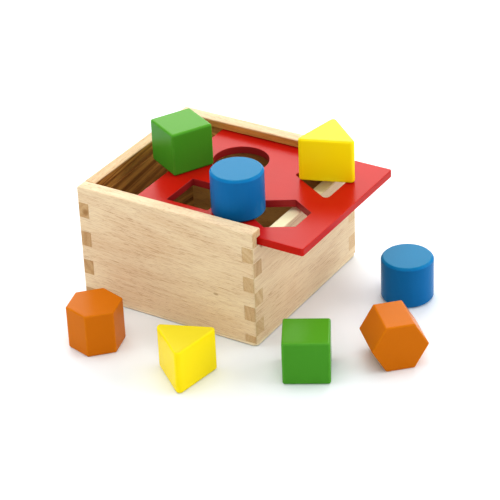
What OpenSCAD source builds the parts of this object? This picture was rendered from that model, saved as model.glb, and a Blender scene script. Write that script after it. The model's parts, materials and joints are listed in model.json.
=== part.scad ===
// Wooden shape sorter: a finger-jointed box, a sliding lid with four shaped
// holes, and two blocks for each hole. Millimetres, +Z up. The origin is the
// centre of the box's underside, -Y is the front, and the lid slides out
// towards +X. The lid is part way out, with three blocks standing on it.

/* [Box] */
// Length of the box along the lid's travel
box_l = 152; // [130:1:180]
// Width of the box from front to back
box_w = 149; // [130:1:180]
// Height of the box
box_h = 95; // [92:1:120]
// Thickness of the front and back walls
side_t = 10.8; // [8:0.2:14]
// Thickness of the two end walls
end_t = 9.5; // [8:0.5:12]
// Thickness of the bottom panel
panel_t = 2.7; // [2:0.1:6]
// Radius of the box's upright corners
corner_r = 1.5; // [0.5:0.5:3]
// Radius of the bottom panel's corners
panel_r = 4; // [1:0.5:8]
// Height of one finger of the corner joints
finger_h = 12.2; // [8:0.1:12.5]

/* [Grooves and lid] */
// Height of the grooves' floor
groove_z = 82.2; // [80:0.1:84]
// Height of the grooves
groove_h = 6.6; // [6.3:0.1:8]
// Depth of the grooves in the front and back walls
groove_d = 4.8; // [3:0.1:5.5]
// Depth of the groove in the left end wall
stop_groove_d = 3.3; // [2:0.1:5]
// How far the top of the low end wall is below the grooves' floor
low_drop = 3; // [0:0.1:5]
// Length of the lid
lid_l = 148; // [130:1:170]
// Side clearance between the lid and each groove
lid_gap = 2; // [0.3:0.1:2.5]
// Thickness of the lid
lid_t = 6; // [4:0.1:6]
// Radius of the lid's corners
lid_r = 2.5; // [1:0.5:6]
// How far the lid is pulled out
lid_out = 33.7; // [0:0.1:100]

/* [Holes] */
// Side of the square hole
square_hole = 35.4; // [35:0.1:38]
// Diameter of the round hole
round_hole = 42.9; // [40.5:0.1:45]
// Side of the hexagonal hole
hex_hole = 22.4; // [22:0.1:24]
// Side of the triangular hole, before its corners are rounded
tri_hole = 48; // [47.5:0.1:51]
// Centre of the square hole from the lid's centre
square_at = [-33.4, -31.7]; // [-60:0.1:60]
// Centre of the round hole from the lid's centre
round_at = [-34.6, 27.8]; // [-60:0.1:60]
// Centre of the hexagonal hole from the lid's centre
hex_at = [33.5, -29.3]; // [-60:0.1:60]
// Centre of the triangular hole from the lid's centre
tri_at = [39.1, 28]; // [-60:0.1:60]

/* [Blocks] */
// Height of every block, and the side of the cubes
block_h = 34.4; // [30:0.1:34.8]
// Diameter of the cylinders
cyl_d = 39.6; // [36:0.1:40]
// Bevel around both ends of the cylinders
cyl_bevel = 1.8; // [0.5:0.1:3]
// Side of the hexagonal blocks
hex_side = 21.2; // [19:0.1:21.6]
// Side of the triangular blocks, before their corners are rounded
tri_side = 46.2; // [42:0.1:47]
// Corner radius of the triangular blocks and their hole
tri_r = 3; // [1:0.5:4]

/* [Where the blocks stand: x, y, turn] */
// Cube on the lid
cube_1_at = [-33.6, 5, 62.3]; // [-200:0.1:200]
// Cube on the ground
cube_2_at = [123.5, -84, 28.8]; // [-200:0.1:200]
// Cylinder on the lid
cylinder_1_at = [42.8, -39.3, 0]; // [-200:0.1:200]
// Cylinder on the ground
cylinder_2_at = [138.8, 40.2, 0]; // [-200:0.1:200]
// Triangle on the lid
triangle_1_at = [73.9, 39.2, 20]; // [-200:0.1:200]
// Triangle on the ground
triangle_2_at = [49.5, -129.4, 82]; // [-200:0.1:200]
// Hexagon standing on the ground
hexagon_1_at = [-31.4, -123, 45.6]; // [-200:0.1:200]
// Hexagon lying on one side
hexagon_2_at = [169.5, -39.2, -45.6]; // [-200:0.1:200]

/* [Hidden] */

$fn = 96;
rubberwood = "burlywood";
plywood = "wheat";
past = 1;                                  // how far a cut runs past a face
stop_gap = 0.3;                            // left when the lid is shut
inner_w = box_w - 2 * side_t;
lid_w = inner_w + 2 * (groove_d - lid_gap);
lid_shut_x = -box_l / 2 + end_t - stop_groove_d + stop_gap + lid_l / 2;
lid_top = groove_z + lid_t;

// Plain shapes

// A rectangle with rounded corners, centred on the origin
module rounded_rect(l, w, r) {
    square([l - 2 * r, w], center = true);
    square([l, w - 2 * r], center = true);
    for (x = [-1, 1], y = [-1, 1])
        translate([x * (l / 2 - r), y * (w / 2 - r)]) circle(r);
}

function towards(angle, distance) = distance * [cos(angle), sin(angle)];

// An equilateral triangle with rounded corners and one corner towards +Y
module rounded_triangle(side, r) {
    reach = side / sqrt(3) - 2 * r;
    polygon([for (corner = [90, 210, 330], turn = [-60:12:60])
        towards(corner, reach) + towards(corner + turn, r)]);
}

module hexagon(side) {
    circle(side, $fn = 6);
}

// Height of the k-th joint line below the grooves
function joint_z(k) = max(panel_t, groove_z - k * finger_h);

// The heights that the end walls' fingers fill at the corners
module finger_bands() {
    for (k = [0, 2, 4, 6]) {
        low = joint_z(k + 1);
        translate([-box_l, -box_w, low]) cube([2 * box_l, 2 * box_w, joint_z(k) - low]);
    }
}

// The box's outline, with its upright corners rounded
module outline(z0, z1) {
    translate([0, 0, z0]) linear_extrude(z1 - z0) rounded_rect(box_l, box_w, corner_r);
}

// What the grooves take out of the front, back and left walls
module grooves() {
    x0 = -box_l / 2 + end_t - stop_groove_d;
    translate([x0, -inner_w / 2 - groove_d, groove_z])
        cube([box_l, inner_w + 2 * groove_d, groove_h]);
}

// The box

// A wall along X, at the front (-1) or the back (1), without the end walls' fingers
module side_wall(side) {
    difference() {
        intersection() {
            outline(panel_t, box_h);
            translate([-box_l, side > 0 ? inner_w / 2 : -box_w, 0])
                cube([2 * box_l, box_w - inner_w / 2, box_h]);
        }
        for (x = [-1, 1]) intersection() {
            finger_bands();
            translate([x * (box_l / 2 - end_t / 2 + past), 0, box_h / 2])
                cube([end_t + 2 * past, 2 * box_w, 2 * box_h], center = true);
        }
        grooves();
    }
}

// A wall along Y, at the left (-1) or the right (1), with its fingers at the corners
module end_wall(side, top) {
    x0 = side > 0 ? box_l / 2 - end_t : -box_l / 2;
    intersection() {
        outline(panel_t, box_h);
        union() {
            translate([x0, -inner_w / 2, panel_t]) cube([end_t, inner_w, top - panel_t]);
            intersection() {
                finger_bands();
                for (y = [-box_w, inner_w / 2])
                    translate([x0, y, panel_t]) cube([end_t, box_w - inner_w / 2, box_h]);
            }
        }
    }
}

module front_wall() {
    color(rubberwood) side_wall(-1);
}

module back_wall() {
    color(rubberwood) side_wall(1);
}

module left_end_wall() {
    color(rubberwood) difference() {
        end_wall(-1, box_h);
        grooves();
    }
}

module right_end_wall() {
    color(rubberwood) end_wall(1, groove_z - low_drop);
}

module bottom_panel() {
    color(plywood) linear_extrude(panel_t) rounded_rect(box_l, box_w, panel_r);
}

// The lid

module lid_holes() {
    translate(square_at) square(square_hole, center = true);
    translate(round_at) circle(d = round_hole);
    translate(hex_at) rotate(30) hexagon(hex_hole);
    translate(tri_at) rotate(90) rounded_triangle(tri_hole, tri_r);
}

module lid() {
    color("firebrick") translate([lid_shut_x + lid_out, 0, groove_z]) linear_extrude(lid_t)
        difference() {
            rounded_rect(lid_l, lid_w, lid_r);
            lid_holes();
        }
}

// The blocks

// Stands a block at [x, y, turn], on the ground or at height z
module stand(at, z = 0) {
    translate([at[0], at[1], z]) rotate(at[2]) children();
}

module cube_block() {
    color("forestgreen") translate([-block_h / 2, -block_h / 2, 0]) cube(block_h);
}

module cylinder_block() {
    r = cyl_d / 2;
    color("steelblue") rotate_extrude() polygon([
        [0, 0], [r - cyl_bevel, 0], [r, cyl_bevel], [r, block_h - cyl_bevel],
        [r - cyl_bevel, block_h], [0, block_h]]);
}

module triangle_block() {
    color("gold") linear_extrude(block_h) rounded_triangle(tri_side, tri_r);
}

module hexagon_block() {
    color("chocolate") linear_extrude(block_h) hexagon(hex_side);
}

// A hexagonal block lying on one of its sides, with its ends towards -X and +X
module hexagon_block_on_side() {
    translate([-block_h / 2, 0, hex_side * sqrt(3) / 2]) rotate([0, 90, 0]) rotate(30)
        hexagon_block();
}

module green_cube_1() stand(cube_1_at, lid_top) cube_block();
module green_cube_2() stand(cube_2_at) cube_block();
module blue_cylinder_1() stand(cylinder_1_at, lid_top) cylinder_block();
module blue_cylinder_2() stand(cylinder_2_at) cylinder_block();
module yellow_triangle_1() stand(triangle_1_at, lid_top) triangle_block();
module yellow_triangle_2() stand(triangle_2_at) triangle_block();
module orange_hexagon_1() stand(hexagon_1_at) hexagon_block();
module orange_hexagon_2() stand(hexagon_2_at) hexagon_block_on_side();

front_wall();
back_wall();
left_end_wall();
right_end_wall();
bottom_panel();
lid();
green_cube_1();
green_cube_2();
blue_cylinder_1();
blue_cylinder_2();
yellow_triangle_1();
yellow_triangle_2();
orange_hexagon_1();
orange_hexagon_2();
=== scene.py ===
"""Looks of the wooden shape sorter: the rubberwood box, the painted lid and the painted blocks.

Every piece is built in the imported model's frame, in metres, and rides on its CAD body.
"""

import json
import math
from collections import namedtuple
from functools import partial
from itertools import product

import bmesh
import bpy
from mathutils import Matrix, Vector
from mathutils.geometry import tessellate_polygon


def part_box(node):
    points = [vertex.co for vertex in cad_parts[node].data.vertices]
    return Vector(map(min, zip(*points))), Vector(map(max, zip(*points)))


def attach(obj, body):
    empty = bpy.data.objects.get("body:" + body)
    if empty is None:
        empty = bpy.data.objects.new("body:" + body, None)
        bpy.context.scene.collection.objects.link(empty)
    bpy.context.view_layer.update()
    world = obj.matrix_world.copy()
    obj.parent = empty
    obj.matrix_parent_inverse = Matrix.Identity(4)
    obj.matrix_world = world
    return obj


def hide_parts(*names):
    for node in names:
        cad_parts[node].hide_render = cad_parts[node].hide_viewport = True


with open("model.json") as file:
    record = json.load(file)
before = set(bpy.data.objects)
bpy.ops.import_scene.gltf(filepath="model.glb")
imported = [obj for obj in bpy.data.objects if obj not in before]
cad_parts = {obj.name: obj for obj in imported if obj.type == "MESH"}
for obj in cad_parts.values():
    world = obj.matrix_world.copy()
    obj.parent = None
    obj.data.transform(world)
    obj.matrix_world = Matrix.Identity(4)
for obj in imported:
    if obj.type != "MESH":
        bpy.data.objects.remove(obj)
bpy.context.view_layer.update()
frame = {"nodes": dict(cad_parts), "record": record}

MM = 0.001

# The box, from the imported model: its outer faces, the walls' inner faces, the panel's top,
# and the floor of the grooves, which the highest fingers of the end walls reach
FRONT_LOW, FRONT_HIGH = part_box("front_wall")
RIGHT_LOW, RIGHT_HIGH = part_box("right_end_wall")
HALF_L, HALF_W, BOX_TOP = FRONT_HIGH.x, -FRONT_LOW.y, FRONT_HIGH.z
INNER_L, INNER_W = RIGHT_LOW.x, -FRONT_HIGH.y
PANEL_TOP, GROOVE_Z = FRONT_LOW.z, RIGHT_HIGH.z

# Its finger joints and grooves, as in the CAD model
FINGER_H = 12.2 * MM
GROOVE_H = 6.6 * MM
SIDE_GROOVE_D = 4.8 * MM
STOP_GROOVE_D = 3.3 * MM
GROOVE_X = -INNER_L - STOP_GROOVE_D
GROOVE_Y = INNER_W + SIDE_GROOVE_D

# The top of the low right wall, a little below the grooves' floor
LOW_DROP = 3 * MM
RIGHT_TOP = GROOVE_Z - LOW_DROP

# How round the boards' edges are
CORNER_R = 1.5 * MM
TOP_R = 1.4 * MM
END_R = 0.8 * MM
GROOVE_R = 0.4 * MM
JOINT_R = 0.3 * MM
BASE_R = 0.5 * MM
PANEL_CORNER_R = 4 * MM
PANEL_EDGE_R = 1.3 * MM

# The lid, and its holes' sizes and centres from the lid's centre
LID_CORNER_R = 1.8 * MM
LID_EDGE_R = 0.5 * MM
SQUARE_HOLE = 35.4 * MM
ROUND_HOLE = 42.9 * MM
HEX_HOLE = 22.4 * MM
TRI_HOLE = 48 * MM
SQUARE_AT = Vector((-33.4, -31.7)) * MM
ROUND_AT = Vector((-34.6, 27.8)) * MM
HEX_AT = Vector((33.5, -29.3)) * MM
TRI_AT = Vector((39.1, 28)) * MM
HOLE_CORNER_R = 0.4 * MM

# The blocks
BLOCK_H = 34.4 * MM
CYLINDER_D = 39.6 * MM
CYLINDER_BEVEL = 1.8 * MM
BEVEL_SOFTNESS = 0.3 * MM
HEX_SIDE = 21.2 * MM
TRI_SIDE = 46.2 * MM
TRI_R = 3 * MM
TRI_EDGE_R = 1.8 * MM
CUBE_R = 1.8 * MM
HEX_CORNER_R = 1.6 * MM
HEX_EDGE_R = 1.3 * MM

# What is left between faces that slide over each other
SLIDE_GAP = 0.04 * MM

# How far each block is turned about +Z, in degrees
TURN = {
    "green_cube_1": 62.3,
    "green_cube_2": 28.8,
    "yellow_triangle_1": 20,
    "yellow_triangle_2": 82,
    "orange_hexagon_1": 45.6,
    "orange_hexagon_2": -45.6,
}

# How many steps there are in a circle's quarter, a rounded corner, a rounded edge, the
# lid's thin edge and a board's bevel
QUARTER_STEPS = 24
CORNER_STEPS = 6
EDGE_STEPS = 4
LID_EDGE_STEPS = 3
BEVEL_STEPS = 4

# Vertices closer than this are one, and a place closer than this to a face is at the face
SAME_PLACE = 0.0001 * MM
NEAR = 0.1 * MM

# The camera: what it looks at, how far it stands from there and in which direction
AIM = Vector((24.2, 2.7, 27.7)) * MM
DISTANCE = 1.558
AZIMUTH = math.radians(32.62)
ELEVATION = math.radians(30.46)
ROLL = math.radians(-2.55)
LENS_MM = 147.95
SENSOR_MM = 36

# The picture's gamma, which deepens the middle tones a little
VIEW_GAMMA = 0.9

# The studio: its floor, its white surroundings, and its soft lights. A light's place is
# how far it is behind the box, to the left of it and above the floor, as the camera sees it.
FLOOR_SIZE = 8
WORLD_STRENGTH = 0.55
LIGHTS = {
    "backdrop": dict(behind=1.7, left=0, up=0.95, width=2.6, height=1.3, watts=37),
    "overhead": dict(behind=0, left=0, up=1.7, width=1.4, height=1.4, watts=12.5),
    "left": dict(behind=0, left=1.7, up=0.8, width=1.6, height=1.4, watts=10.5, in_gloss=False),
    "right": dict(behind=0, left=-1.7, up=0.8, width=1.6, height=1.4, watts=17),
    "front": dict(behind=-2.2, left=0, up=1.3, width=1.6, height=1.2, watts=13),
}


# Outlines: closed convex curves with an arc at each corner. A corner is the arc's
# centre and the direction that it faces, in radians.
Outline = namedtuple("Outline", "corners radius steps")


def rectangle(length, width, radius, at=(0, 0)):
    """A rectangle with rounded corners."""
    x, y = length / 2 - radius, width / 2 - radius
    signs = ((1, 1), (-1, 1), (-1, -1), (1, -1))
    corners = [(at[0] + sx * x, at[1] + sy * y, math.atan2(sy, sx)) for sx, sy in signs]
    return Outline(corners, radius, CORNER_STEPS)


def regular(sides, side, radius, first=0, at=(0, 0)):
    """A regular polygon with rounded corners. The first corner faces that way, in degrees."""
    reach = side / 2 / math.sin(math.pi / sides) - radius / math.cos(math.pi / sides)
    facings = [math.radians(first) + math.tau * i / sides for i in range(sides)]
    corners = [(at[0] + reach * math.cos(a), at[1] + reach * math.sin(a), a) for a in facings]
    return Outline(corners, radius, CORNER_STEPS)


def disc(diameter, at=(0, 0)):
    """A circle, as four quarter arcs around one centre."""
    facings = [math.pi / 4 + i * math.pi / 2 for i in range(4)]
    return Outline([(at[0], at[1], a) for a in facings], diameter / 2, QUARTER_STEPS)


def outline_points(outline, grow):
    """The outline's points, when it grows by that much."""
    half = math.pi / len(outline.corners)
    reach = outline.radius + grow
    points = []
    for x, y, facing in outline.corners:
        for step in range(outline.steps + 1):
            angle = facing + half * (2 * step / outline.steps - 1)
            points.append((x + reach * math.cos(angle), y + reach * math.sin(angle)))
    return points


def is_in_corner(outline, i):
    """Whether a point is within a rounded corner, not at its ends. A circle has no corners."""
    return outline.steps < QUARTER_STEPS and 0 < i % (outline.steps + 1) < outline.steps


# Edge profiles: (inset from the side, distance from the flat end), going from the end to the side


def quarter_round(radius, steps=EDGE_STEPS):
    """A rounded edge."""
    angles = [math.pi / 2 * step / steps for step in range(steps + 1)]
    return [(radius * (1 - math.sin(a)), radius * (1 - math.cos(a))) for a in angles]


def soft_bevel(size):
    """A 45-degree bevel with slightly soft edges."""
    outer, inner = size + BEVEL_SOFTNESS, size - BEVEL_SOFTNESS
    return [(outer, 0), (inner, BEVEL_SOFTNESS), (BEVEL_SOFTNESS, inner), (0, outer)]


# Meshes


def smooth_object(name, bm):
    """Makes an object of the mesh, shaded smooth."""
    bmesh.ops.remove_doubles(bm, verts=bm.verts, dist=SAME_PLACE)
    bmesh.ops.recalc_face_normals(bm, faces=bm.faces)
    mesh = bpy.data.meshes.new(name)
    bm.to_mesh(mesh)
    bm.free()
    mesh.shade_smooth()
    piece = bpy.data.objects.new(name, mesh)
    bpy.context.scene.collection.objects.link(piece)
    return piece


def keep_flats_flat(piece):
    """Lets the large faces set the normals, so that only the rounded edges look round."""
    modifier = piece.modifiers.new("flat faces", "WEIGHTED_NORMAL")
    modifier.mode = "FACE_AREA"
    modifier.weight = 100


def add_side(bm, outline, outwards, levels):
    """Adds a prism's outer side (1) or the wall of a hole (-1), and returns its rings."""
    edge = bm.verts.layers.float["edge"]
    hole_wall = bm.verts.layers.float["hole wall"]
    end_inset = levels[0][0]
    rings = []
    for inset, z in levels:
        ring = [bm.verts.new((x, y, z)) for x, y in outline_points(outline, -outwards * inset)]
        for i, vert in enumerate(ring):
            is_round = inset > 0 or is_in_corner(outline, i)
            vert[edge] = float(inset < end_inset and is_round)
            vert[hole_wall] = float(inset < end_inset and outwards < 0)
        rings.append(ring)
    for lower, upper in zip(rings, rings[1:]):
        for i in range(len(lower)):
            bm.faces.new((lower[i - 1], lower[i], upper[i], upper[i - 1]))
    return rings


def add_end(bm, rings):
    """Closes a prism's end: with one face, or with triangles around the holes."""
    verts = [vert for ring in rings for vert in ring]
    if len(rings) == 1:
        bm.faces.new(verts)
        return
    for triangle in tessellate_polygon([[vert.co for vert in ring] for ring in rings]):
        bm.faces.new([verts[i] for i in triangle])


def prism(name, outer, low, high, profile, holes=()):
    """An upright solid with that outline, edge profile and through holes.

    Its "edge" attribute is 1 on the round edges, and its "hole wall" attribute 1 inside the holes.
    """
    levels = [(inset, low + rise) for inset, rise in profile]
    levels += [(inset, high - rise) for inset, rise in reversed(profile)]
    bm = bmesh.new()
    for attribute in ("edge", "hole wall"):
        bm.verts.layers.float.new(attribute)
    sides = [add_side(bm, outer, 1, levels)]
    sides += [add_side(bm, hole, -1, levels) for hole in holes]
    for end in (0, -1):
        add_end(bm, [rings[end] for rings in sides])
    piece = smooth_object(name, bm)
    keep_flats_flat(piece)
    return piece


# The box


def in_groove(x, y, z):
    """Whether the lid's grooves, or the space between them, are there."""
    return GROOVE_Z < z < GROOVE_Z + GROOVE_H and x > GROOVE_X and abs(y) < GROOVE_Y


def in_end_finger(z):
    """Whether the corners at this height belong to the end walls."""
    return z < GROOVE_Z and int((GROOVE_Z - z) / FINGER_H) % 2 == 0


def in_side_wall(side, x, y, z):
    """Whether the front (-1) or back (1) wall is there, within the box's outer faces."""
    at_end_finger = abs(x) > INNER_L and in_end_finger(z)
    return side * y > INNER_W and not at_end_finger and not in_groove(x, y, z)


def in_end_wall(side, top, x, y, z):
    """Whether the left (-1) or right (1) wall of that height is there, the same way."""
    reaches = z < top if abs(y) < INNER_W else in_end_finger(z)
    return side * x > INNER_L and reaches and not in_groove(x, y, z)


BOARDS = {
    "front_wall": partial(in_side_wall, -1),
    "back_wall": partial(in_side_wall, 1),
    "left_end_wall": partial(in_end_wall, -1, BOX_TOP),
    "right_end_wall": partial(in_end_wall, 1, RIGHT_TOP),
}

# The planes between which each board is filled or empty, along X, Y and Z
JOINT_COUNT = int((GROOVE_Z - PANEL_TOP) / FINGER_H) + 1
JOINT_LINES = [GROOVE_Z - k * FINGER_H for k in range(JOINT_COUNT)]
CUTS = (
    [-HALF_L, GROOVE_X, -INNER_L, INNER_L, HALF_L],
    [-HALF_W, -GROOVE_Y, -INNER_W, INNER_W, GROOVE_Y, HALF_W],
    sorted([PANEL_TOP, *JOINT_LINES, RIGHT_TOP, GROOVE_Z + GROOVE_H, BOX_TOP]),
)


def in_board(node, x, y, z):
    """Whether that board is there."""
    inside = abs(x) < HALF_L and abs(y) < HALF_W and PANEL_TOP < z < BOX_TOP
    return inside and BOARDS[node](x, y, z)


def in_box(x, y, z):
    """Whether any board or the panel is there."""
    in_panel = abs(x) < HALF_L and abs(y) < HALF_W and 0 < z < PANEL_TOP
    return in_panel or any(in_board(node, x, y, z) for node in BOARDS)


def edge_radius(node, start, end):
    """How round a board's edge is, by what lies around it: nothing, or another board at a joint."""
    middle = (start + end) / 2
    along = max(range(3), key=lambda axis: abs(end[axis] - start[axis]))
    across = [axis for axis in range(3) if axis != along]

    # How many of the four quarters around the edge the board fills, and all boards together
    own, all_boards = 0, 0
    for signs in product((-1, 1), repeat=2):
        point = middle.copy()
        for axis, sign in zip(across, signs):
            point[axis] += sign * NEAR
        own += in_board(node, *point)
        all_boards += in_box(*point)

    if own != 1 or all_boards > 2:
        return 0
    if all_boards == 2:
        return BASE_R if middle.z < PANEL_TOP + NEAR else JOINT_R

    outer_faces = (HALF_L, HALF_W, BOX_TOP)
    at_end, at_side, at_top = (abs(abs(c) - face) < NEAR for c, face in zip(middle, outer_faces))
    if at_end and at_side:
        return CORNER_R
    if at_top:
        return TOP_R
    return END_R if at_end else GROOVE_R


def board_mesh(node):
    """A wall with its fingers and grooves, from the cells that it fills between the cut planes."""
    bm = bmesh.new()
    verts = {}

    def vert(place):
        """The vertex where the cut planes of those numbers cross."""
        if place not in verts:
            verts[place] = bm.verts.new([cuts[i] for cuts, i in zip(CUTS, place)])
        return verts[place]

    def filled(cell):
        """Whether the board fills the cell that starts at the cut planes of those numbers."""
        if not all(0 <= i < len(cuts) - 1 for cuts, i in zip(CUTS, cell)):
            return False
        return in_board(node, *((cuts[i] + cuts[i + 1]) / 2 for cuts, i in zip(CUTS, cell)))

    for cell in product(*(range(len(cuts) - 1) for cuts in CUTS)):
        for axis, step in product(range(3), (0, 1)):
            beyond = tuple(i + (2 * step - 1) * (n == axis) for n, i in enumerate(cell))
            if not filled(cell) or filled(beyond):
                continue
            ring = []
            for du, dv in ((0, 0), (1, 0), (1, 1), (0, 1)):
                shift = {axis: step, (axis + 1) % 3: du, (axis + 2) % 3: dv}
                ring.append(vert(tuple(i + shift[n] for n, i in enumerate(cell))))
            bm.faces.new(ring)
    return bm


def board(node):
    """A wall with its fingers and grooves, and with its edges rounded."""
    bm = board_mesh(node)
    weight = bm.edges.layers.float.new("bevel_weight_edge")
    for edge in bm.edges:
        edge[weight] = edge_radius(node, edge.verts[0].co, edge.verts[1].co) / CORNER_R
    piece = smooth_object(node + "_board", bm)
    rounding = piece.modifiers.new("round edges", "BEVEL")
    rounding.limit_method = "WEIGHT"
    rounding.width = CORNER_R
    rounding.segments = BEVEL_STEPS
    rounding.use_clamp_overlap = False
    keep_flats_flat(piece)
    return piece


def bottom_panel():
    """The panel under the walls, with a rounded edge."""
    low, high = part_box("bottom_panel")
    outline = rectangle(high.x - low.x, high.y - low.y, PANEL_CORNER_R)
    return prism("bottom_panel_board", outline, low.z, high.z, quarter_round(PANEL_EDGE_R))


# The lid


def lid():
    """The sliding lid with its four holes."""
    low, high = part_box("lid")
    centre = Vector(((low.x + high.x) / 2, (low.y + high.y) / 2))
    outline = rectangle(high.x - low.x, high.y - low.y, LID_CORNER_R, centre)
    holes = (
        rectangle(SQUARE_HOLE, SQUARE_HOLE, HOLE_CORNER_R, centre + SQUARE_AT),
        disc(ROUND_HOLE, centre + ROUND_AT),
        regular(6, HEX_HOLE, HOLE_CORNER_R, 30, centre + HEX_AT),
        regular(3, TRI_HOLE, TRI_R, 180, centre + TRI_AT),
    )
    profile = quarter_round(LID_EDGE_R, LID_EDGE_STEPS)
    return prism("lid_board", outline, low.z + SLIDE_GAP, high.z, profile, holes)


# The blocks


def node_middle(node):
    """The middle of a block's CAD node: the mean of its distinct vertices."""
    places = {tuple(round(c, 6) for c in vert.co) for vert in frame["nodes"][node].data.vertices}
    return sum((Vector(place) for place in places), Vector()) / len(places)


def block(node, outline, profile):
    """A block with that outline, standing where its CAD node stands."""
    piece = prism(node + "_block", outline, SLIDE_GAP - BLOCK_H / 2, BLOCK_H / 2, profile)
    piece.matrix_world = Matrix.Translation(node_middle(node))
    return piece


def cube(node):
    outline = regular(4, BLOCK_H, CUBE_R, 45 + TURN[node])
    return block(node, outline, quarter_round(CUBE_R))


def cylinder(node):
    return block(node, disc(CYLINDER_D), soft_bevel(CYLINDER_BEVEL))


def triangle(node):
    outline = regular(3, TRI_SIDE, TRI_R, 90 + TURN[node])
    return block(node, outline, quarter_round(TRI_EDGE_R))


def hexagon(node):
    outline = regular(6, HEX_SIDE, HEX_CORNER_R, TURN[node])
    return block(node, outline, quarter_round(HEX_EDGE_R))


def hexagon_on_side(node):
    """A hexagonal block that lies on one of its sides."""
    outline = regular(6, HEX_SIDE, HEX_CORNER_R, 90)
    piece = block(node, outline, quarter_round(HEX_EDGE_R))
    turn = Matrix.Rotation(math.radians(TURN[node]), 4, "Z")
    piece.matrix_world = piece.matrix_world @ turn @ Matrix.Rotation(math.radians(90), 4, "Y")
    return piece


# Colours, and tints that multiply them


def srgb(red, green, blue):
    """A linear colour from the usual 0 to 255 values."""
    values = [value / 255 for value in (red, green, blue)]
    linear = [v / 12.92 if v <= 0.04045 else ((v + 0.055) / 1.055) ** 2.4 for v in values]
    return (*linear, 1)


WHITE = (1, 1, 1, 1)
KNOT_BROWN = srgb(140, 95, 32)
# Painted light for the top of the low right wall
PAINTED_TOP_LIGHT = srgb(255, 246, 204)
# Painted shade for the walls of the lid's holes
HOLE_SHADE_RED = srgb(150, 40, 42)
# Painted warm shade for the box's floor, the panel's upper face
INSIDE_FLOOR_SHADE = (1, 1, 0.9, 1)
# Painted shade for the box's inner faces, lighter low down and darker near the top
INSIDE_SHADE_LOW = (1, 0.88, 0.5, 1)
INSIDE_SHADE_HIGH = (0.88, 0.6, 0.25, 1)
WARM_GLOSS = (1, 0.95, 0.85, 1)
FLOOR_DARK = (0.83, 0.865, 0.89, 1)
FLOOR_LIGHT = (0.85, 0.885, 0.91, 1)
NO_TINT = (1, 1, 1)
FIBRE_TINT = (0.93, 0.88, 0.82)
# Darker stripes along the growth bands, in the painted shade inside the box
STRIPE_TINT = (0.5, 0.42, 0.38)
END_GRAIN_TINT = (0.75, 0.65, 0.51)
# A painted contact shadow for the panel's foot
CONTACT_SHADOW_TINT = (0.35, 0.32, 0.3)
MOTTLE_TINT = (0.97, 0.97, 0.97)

# Lacquer and paint: an index of refraction that is low, so that faces seen at a slant
# reflect little of the white studio, and how far their bumps stand out
COATING_IOR = 1.15
BUMP_DEPTH = 0.1 * MM

# Growth bands: how many there are to a millimetre, and how fast the tree tapers
BANDS_PER_MM = 0.3
TREE_TAPER = 0.06

# How far past the grooves' walls the painted shade on the box's inside starts and stops fading
INSIDE_FADE = (0.2 * MM, 0.5 * MM)


# Materials


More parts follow.
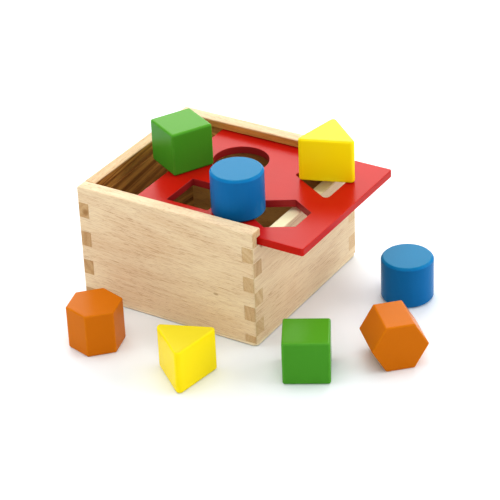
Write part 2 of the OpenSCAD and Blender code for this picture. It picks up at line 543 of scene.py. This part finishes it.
class Shader:
    """A material's node tree, with short calls for the nodes that it needs."""

    def __init__(self, name, seed=0):
        self.material = bpy.data.materials.new(name)
        self.material.use_nodes = True
        self.tree = self.material.node_tree
        self.tree.nodes.clear()
        self.seed = seed

    def node(self, kind, inputs, output=0, **settings):
        """Adds a node and returns one of its outputs. Inputs are sockets or constants."""
        made = self.tree.nodes.new("ShaderNode" + kind)
        for name, value in settings.items():
            setattr(made, name, value)
        for name, value in inputs.items():
            if isinstance(value, bpy.types.NodeSocket):
                self.tree.links.new(value, made.inputs[name])
            else:
                made.inputs[name].default_value = value
        return made.outputs[output] if made.outputs else None

    def maths(self, operation, *values):
        return self.node("Math", dict(enumerate(values)), operation=operation)

    def scaled(self, value, factor, plus=None):
        """The value times the factor, and plus another value if there is one."""
        if plus is None:
            return self.maths("MULTIPLY", value, factor)
        return self.maths("MULTIPLY_ADD", value, factor, plus)

    def vectors(self, operation, *values, output=0):
        return self.node("VectorMath", dict(enumerate(values)), output, operation=operation)

    def along(self, vector, direction):
        """How far the vector goes along that direction."""
        return self.vectors("DOT_PRODUCT", vector, direction, output="Value")

    def place(self, turn=0):
        """The place on the piece in millimetres, turned about Z."""
        inputs = {
            "Vector": self.node("TexCoord", {}, "Object"),
            "Scale": (1 / MM, 1 / MM, 1 / MM),
            "Rotation": (0, 0, math.radians(turn)),
        }
        return self.node("Mapping", inputs)

    def coordinate(self, axis):
        """One coordinate of the place on the piece, in metres."""
        return self.node("SeparateXYZ", {"Vector": self.node("TexCoord", {}, "Object")}, axis)

    def facing(self, direction):
        """How much the surface faces along that direction, either way."""
        return self.maths("ABSOLUTE", self.along(self.node("TexCoord", {}, "Normal"), direction))

    def facing_up(self, most=1):
        """Goes from 0 on upright surfaces to the most on level ones."""
        return self.ramp(self.facing((0, 0, 1)), 0.6, 0.95, to_high=most)

    def noise(self, vector, along, across, detail=2, output="Fac"):
        """Noise with that many waves a millimetre along X and across it."""
        stretched = self.vectors("MULTIPLY", vector, (along, across, across))
        inputs = {"Vector": stretched, "W": self.seed, "Scale": 1, "Detail": detail}
        return self.node("TexNoise", inputs, output, noise_dimensions="4D")

    def bend(self, vector, amount, along, across):
        """Moves a place sideways by a slow noise, as grain wanders."""
        slow = self.noise(vector, along, across, detail=1, output="Color")
        either_way = self.vectors("SUBTRACT", slow, (0.5, 0.5, 0.5))
        shift = self.vectors("MULTIPLY", either_way, (0, amount, amount))
        return self.vectors("ADD", vector, shift)

    def slant(self, vector, slope):
        """Makes the grain run down towards +X, by that much for each step along X."""
        drop = self.along(vector, (slope, 0, 0))
        return self.vectors("ADD", vector, self.node("CombineXYZ", {"Z": drop}))

    def ramp(self, value, low, high, to_low=0, to_high=1):
        """Goes smoothly from one number to another while the value goes from low to high."""
        span = {"From Min": low, "From Max": high, "To Min": to_low, "To Max": to_high}
        return self.node("MapRange", {"Value": value, **span}, interpolation_type="SMOOTHSTEP")

    def mix(self, factor, first, second, blend="MIX"):
        inputs = {0: factor, 6: first, 7: second}
        return self.node("Mix", inputs, 2, data_type="RGBA", blend_type=blend)

    def tinted(self, factor, colour, tint):
        """The colour multiplied by the tint, by that factor."""
        return self.mix(factor, colour, (*tint, 1), "MULTIPLY")

    def bump(self, height, strength):
        inputs = {"Height": height, "Strength": strength, "Distance": BUMP_DEPTH}
        return self.node("Bump", inputs)

    def finish(self, **inputs):
        """Ends the tree with a Principled shader."""
        names = {name.replace("_", " "): value for name, value in inputs.items()}
        surface = self.node("BsdfPrincipled", names)
        self.node("OutputMaterial", {"Surface": surface})
        return self.material


def painted_inside_shade(s, bands, stripes):
    """A painted shade: white outside the box, and gold-brown with darker stripes along the growth
    bands on its inner faces.
    """
    x, y, z = (s.coordinate(axis) for axis in "XYZ")
    beyond_x = s.maths("MAXIMUM", s.maths("SUBTRACT", x, INNER_L), s.maths("SUBTRACT", GROOVE_X, x))
    beyond_y = s.maths("SUBTRACT", s.maths("ABSOLUTE", y), GROOVE_Y)
    beyond = s.maths("MAXIMUM", beyond_x, beyond_y)
    within = s.ramp(beyond, *INSIDE_FADE, to_low=1, to_high=0)
    below_top = s.ramp(z, BOX_TOP - TOP_R, BOX_TOP - 0.2 * MM, to_low=1, to_high=0)
    # painted shade: lighter low in the box, darker near its top, and darker again on the growth
    # bands
    shade_colour = s.mix(s.ramp(z, 10 * MM, BOX_TOP), INSIDE_SHADE_LOW, INSIDE_SHADE_HIGH)
    striped = s.tinted(s.scaled(bands, stripes), shade_colour, STRIPE_TINT)
    return s.mix(s.scaled(within, below_top), WHITE, striped)


def on_panel(s):
    """A painted shade: warmer on the panel's upper face, the box's floor, and a dark painted
    contact shadow where the panel meets the ground.
    """
    z = s.coordinate("Z")
    # painted contact shadow along the ground
    contact_shadow = s.ramp(z, 0.3 * MM, 0.8 * MM, to_low=1, to_high=0)
    sides = s.tinted(contact_shadow, WHITE, CONTACT_SHADOW_TINT)
    return s.mix(s.ramp(z, PANEL_TOP - 0.4 * MM, PANEL_TOP - 0.1 * MM), sides, INSIDE_FLOOR_SHADE)


def growth_bands(s, place, pith):
    """Slow bands around the tree's pith, which runs along X while the tree tapers."""
    from_pith = s.vectors("MULTIPLY", s.vectors("SUBTRACT", place, (0, *pith)), (0, 1, 1))
    radius = s.vectors("LENGTH", from_pith, output="Value")
    taper = s.along(place, (TREE_TAPER, 0, 0))
    waves = s.scaled(s.maths("ADD", radius, taper), BANDS_PER_MM, s.seed)
    return s.node("TexNoise", {"W": waves, "Scale": 1, "Detail": 3}, noise_dimensions="1D")


def spot(s, place, centre, size):
    """1 at the centre and 0 from that far away, twice as far along the grain."""
    away = s.vectors("MULTIPLY", s.vectors("SUBTRACT", place, centre), (0.5, 1, 1))
    distance = s.vectors("LENGTH", away, output="Value")
    return s.ramp(distance, size * 0.3, size, to_low=1, to_high=0)


def grain_axis(turn):
    """The grain's direction on the piece: along X for an unturned board."""
    angle = math.radians(-turn)
    return (math.cos(angle), math.sin(angle), 0)


def wood(name, light, warm, pore, pith, turn=0, seed=0.0, pores=0.13, slope=0, knots=(),
         figure=None, tone=NO_TINT, end_tint=END_GRAIN_TINT, stripes=0.35, is_panel=False,
         top=None):
    """Rubberwood or plywood under a satin lacquer, with its grain along X once it is turned.

    light, warm, pore: the colours of the wood where it is pale and where it is warm, and
        of its pores
    pith: where the tree's pith is across the grain, in millimetres
    turn: how far the board is turned about Z to bring its grain along X, in degrees
    pores: how many there are to a millimetre along the grain, at most
    slope: how far the grain runs down towards +X
    knots, figure: centres and sizes of knots and of a patch with many pores, in millimetres
    tone, end_tint: tints for the whole board and for its end grain
    stripes: how much the growth bands darken the painted shade on a wall's inner face
    top: painted light for the board's upward faces, where it has any
    """
    s = Shader(name, seed)
    place = s.place(turn)
    bent = s.bend(s.slant(place, slope), amount=4, along=0.012, across=0.03)
    bands = s.ramp(growth_bands(s, bent, pith), 0.32, 0.68)
    patches = s.ramp(s.noise(place, along=0.012, across=0.03), 0.35, 0.65)
    fibres = s.ramp(s.noise(bent, along=0.02, across=1.4, detail=3), 0.35, 0.65)
    vessels = s.ramp(s.noise(bent, along=pores, across=3.2), 0.57, 0.66)
    fine_vessels = s.ramp(s.noise(bent, along=2 * pores, across=5), 0.56, 0.66)
    if figure:
        patches = s.maths("MAXIMUM", patches, spot(s, bent, *figure))
    crowding = s.scaled(bands, 0.5, s.scaled(patches, 0.5))
    vessels = s.maths("MULTIPLY", vessels, s.scaled(crowding, 0.65, 0.35))

    colour = s.mix(s.scaled(bands, 0.25, s.scaled(patches, 0.4)), light, warm)
    colour = s.tinted(s.scaled(fibres, 0.7), colour, FIBRE_TINT)
    colour = s.mix(s.scaled(vessels, 0.7), colour, pore)
    colour = s.mix(s.scaled(fine_vessels, 0.3), colour, pore)
    end_grain = s.ramp(s.facing(grain_axis(turn)), 0.5, 0.9)
    dark_rings = s.scaled(bands, 0.2, 0.7)
    colour = s.mix(end_grain, colour, s.tinted(dark_rings, colour, end_tint))
    for centre, size in knots:
        colour = s.mix(s.scaled(spot(s, place, centre, size), 0.5), colour, KNOT_BROWN)
    colour = s.tinted(1, colour, tone)
    # painted shade: the box's inner faces, and on the panel the box's floor and a contact shadow
    painted_shade = on_panel(s) if is_panel else painted_inside_shade(s, bands, stripes)
    colour = s.mix(1, colour, painted_shade, "MULTIPLY")
    # painted light on the board's upward faces
    if top:
        colour = s.mix(s.facing_up(most=0.9), colour, top)

    height = s.scaled(fibres, 0.3, s.scaled(vessels, -1))
    return s.finish(
        Base_Color=colour,
        Roughness=s.scaled(vessels, 0.2, s.scaled(fibres, 0.08, 0.42)),
        Specular_IOR_Level=0.7,
        Normal=s.bump(height, 0.3),
        IOR=COATING_IOR,
    )


def paint(name, colour, thin_and_lit, gloss, gloss_tint=WHITE, upright=True, top_shading=None):
    """Satin paint on wood: faint grain under it, a little mottling, sparse paint with a painted
    highlight on the edges, and painted light on tops.

    thin_and_lit: the colour where the paint is sparse, over the grain and on the rounded edges,
    where it also paints in their highlight
    gloss, gloss_tint: how strong its reflections are, and their tint
    upright: whether the grain runs up through the piece rather than along X
    top_shading: the colour of a block's level faces, as painted light and shade on its top
    """
    s = Shader(name)
    place = s.place()
    waves = (0.5, 0.5, 0.03) if upright else (0.03, 0.5, 0.5)
    grain = s.ramp(s.noise(s.vectors("MULTIPLY", place, waves), 1, 1, detail=3), 0.35, 0.7)
    mottle = s.ramp(s.noise(place, 0.04, 0.04, detail=1), 0.3, 0.7)
    specks = s.noise(place, 1.6, 1.6)
    edge = s.node("Attribute", {}, "Fac", attribute_name="edge")
    # sparse paint on the rounded edges, lighter there also as a painted highlight
    edge_breakup = s.ramp(s.noise(place, 0.25, 0.25, detail=3), 0.3, 0.7, to_low=0.4)
    worn_and_lit_edges = s.maths("MULTIPLY", edge, edge_breakup)

    # painted light and shade on the blocks' level faces, mostly their tops
    mixed = s.mix(s.facing_up(), colour, top_shading or colour)
    mixed = s.tinted(s.scaled(mottle, 0.5), mixed, MOTTLE_TINT)
    mixed = s.mix(s.scaled(grain, 0.03), mixed, thin_and_lit)
    mixed = s.mix(s.scaled(worn_and_lit_edges, 0.3), mixed, thin_and_lit)
    # painted shade on the walls of the lid's holes
    in_hole = s.node("Attribute", {}, "Fac", attribute_name="hole wall")
    mixed = s.mix(s.scaled(in_hole, 0.8), mixed, HOLE_SHADE_RED)

    height = s.scaled(grain, 0.7, s.scaled(specks, 0.3))
    return s.finish(
        Base_Color=mixed,
        Roughness=s.scaled(mottle, 0.015, 0.25),
        Specular_IOR_Level=gloss,
        Specular_Tint=gloss_tint,
        Normal=s.bump(height, 0.04),
        IOR=COATING_IOR,
    )


RUBBERWOOD = dict(light=srgb(233, 215, 182), warm=srgb(215, 186, 151), pore=srgb(158, 103, 62))
PLYWOOD = dict(light=srgb(236, 222, 196), warm=srgb(224, 206, 174), pore=srgb(190, 158, 118))

# The materials of the box and the lid, and of the blocks by the first word of their names
MATERIALS = {
    "front_wall": wood(
        "rubberwood_front", pith=(-30, 62), seed=0.3, pores=0.1, slope=0.065,
        knots=[((42.5, -74.5, 36), 1.5)], figure=((-24, -74.5, 64), 26), **RUBBERWOOD),
    "back_wall": wood(
        "rubberwood_back", pith=(20, 30), seed=1.1, tone=(0.95, 0.91, 0.87),
        end_tint=(0.95, 0.91, 0.84), **RUBBERWOOD),
    "left_end_wall": wood(
        "rubberwood_left", pith=(-40, 50), turn=90, seed=2.7, tone=(0.87, 0.79, 0.69),
        stripes=1, knots=[((74.5, -69.5, 75), 4)], **RUBBERWOOD),
    "right_end_wall": wood(
        "rubberwood_right", pith=(30, 20), turn=90, seed=3.9, pores=0.035, top=PAINTED_TOP_LIGHT,
        **RUBBERWOOD),
    "bottom_panel": wood(
        "plywood_bottom", pith=(0, -200), seed=5.2, end_tint=(0.97, 0.94, 0.88),
        is_panel=True, **PLYWOOD),
    "lid": paint(
        "red_gloss", srgb(183, 21, 12), thin_and_lit=srgb(212, 43, 27), gloss=1,
        gloss_tint=WARM_GLOSS, upright=False),
    "green": paint(
        "green_gloss", srgb(73, 147, 38), thin_and_lit=srgb(100, 172, 58), gloss=0.8,
        top_shading=srgb(83, 151, 34)),
    "blue": paint(
        "blue_gloss", srgb(12, 104, 161), thin_and_lit=srgb(24, 148, 205), gloss=0.65,
        top_shading=srgb(12, 120, 163)),
    "yellow": paint(
        "yellow_gloss", srgb(245, 221, 12), thin_and_lit=srgb(240, 220, 28), gloss=0.7,
        top_shading=srgb(221, 203, 42)),
    "orange": paint("orange_gloss", srgb(198, 110, 6), thin_and_lit=srgb(218, 132, 18), gloss=0.5),
}


# Every CAD node's piece

MAKERS = {
    "front_wall": board,
    "back_wall": board,
    "left_end_wall": board,
    "right_end_wall": board,
    "bottom_panel": lambda node: bottom_panel(),
    "lid": lambda node: lid(),
    "green_cube_1": cube,
    "green_cube_2": cube,
    "blue_cylinder_1": cylinder,
    "blue_cylinder_2": cylinder,
    "yellow_triangle_1": triangle,
    "yellow_triangle_2": triangle,
    "orange_hexagon_1": hexagon,
    "orange_hexagon_2": hexagon_on_side,
}
BODIES = frame["record"]["behaviour"]["bodies"]
BODY_OF = {node: body for body, nodes in BODIES.items() for node in nodes}

for node, make in MAKERS.items():
    piece = make(node)
    material = MATERIALS.get(node) or MATERIALS[node.split("_")[0]]
    piece.data.materials.append(material)
    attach(piece, BODY_OF[node])
    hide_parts(node)


# The studio


def camera_axes():
    """The camera's right, up and backward directions."""
    level = Vector((math.cos(AZIMUTH), math.sin(AZIMUTH), 0))
    reach = math.cos(ELEVATION)
    back = Vector((math.sin(AZIMUTH) * reach, -math.cos(AZIMUTH) * reach, math.sin(ELEVATION)))
    upright = back.cross(level)
    right = level * math.cos(ROLL) + upright * math.sin(ROLL)
    return right, back.cross(right), back


def add_camera():
    """The camera that sees the part as it is in the main picture."""
    right, up, back = camera_axes()
    data = bpy.data.cameras.new("camera")
    data.lens = LENS_MM
    data.sensor_width = SENSOR_MM
    camera = bpy.data.objects.new("camera", data)
    bpy.context.scene.collection.objects.link(camera)
    axes = Matrix((right, up, back)).transposed().to_4x4()
    camera.matrix_world = Matrix.Translation(AIM + back * DISTANCE) @ axes
    bpy.context.scene.camera = camera


def add_floor():
    """A floor of slightly uneven white paper."""
    bm = bmesh.new()
    bmesh.ops.create_grid(bm, x_segments=8, y_segments=8, size=FLOOR_SIZE / 2)
    floor = smooth_object("floor", bm)
    s = Shader("floor_paper")
    shade = s.ramp(s.noise(s.place(), 0.01, 0.01), 0.3, 0.7)
    tone = s.mix(shade, FLOOR_DARK, FLOOR_LIGHT)
    floor.data.materials.append(s.finish(Base_Color=tone, Roughness=0.7, Specular_IOR_Level=0.2))


def add_light(name, behind, left, up, width, height, watts, in_gloss=True):
    """A soft rectangular light that faces the box, which the camera doesn't see.

    in_gloss: whether shiny surfaces reflect it
    """
    away = -camera_axes()[2].to_2d().normalized().to_3d()
    beside = Vector((-away.y, away.x, 0))
    place = away * behind + beside * left + Vector((0, 0, up))
    data = bpy.data.lights.new(name, "AREA")
    data.shape = "RECTANGLE"
    data.size, data.size_y = width, height
    data.energy = watts
    light = bpy.data.objects.new(name, data)
    aim = (place - AIM).to_track_quat("Z", "Y").to_matrix().to_4x4()
    light.matrix_world = Matrix.Translation(place) @ aim
    light.visible_camera = False
    light.visible_glossy = in_gloss
    bpy.context.scene.collection.objects.link(light)


def add_world():
    """Even white light from all around."""
    world = bpy.data.worlds.new("studio")
    world.use_nodes = True
    background = world.node_tree.nodes["Background"]
    background.inputs["Color"].default_value = WHITE
    background.inputs["Strength"].default_value = WORLD_STRENGTH
    bpy.context.scene.world = world


add_camera()
add_floor()
add_world()
for name, light in LIGHTS.items():
    add_light(name, **light)

bpy.context.scene.view_settings.view_transform = "Standard"
bpy.context.scene.view_settings.gamma = VIEW_GAMMA
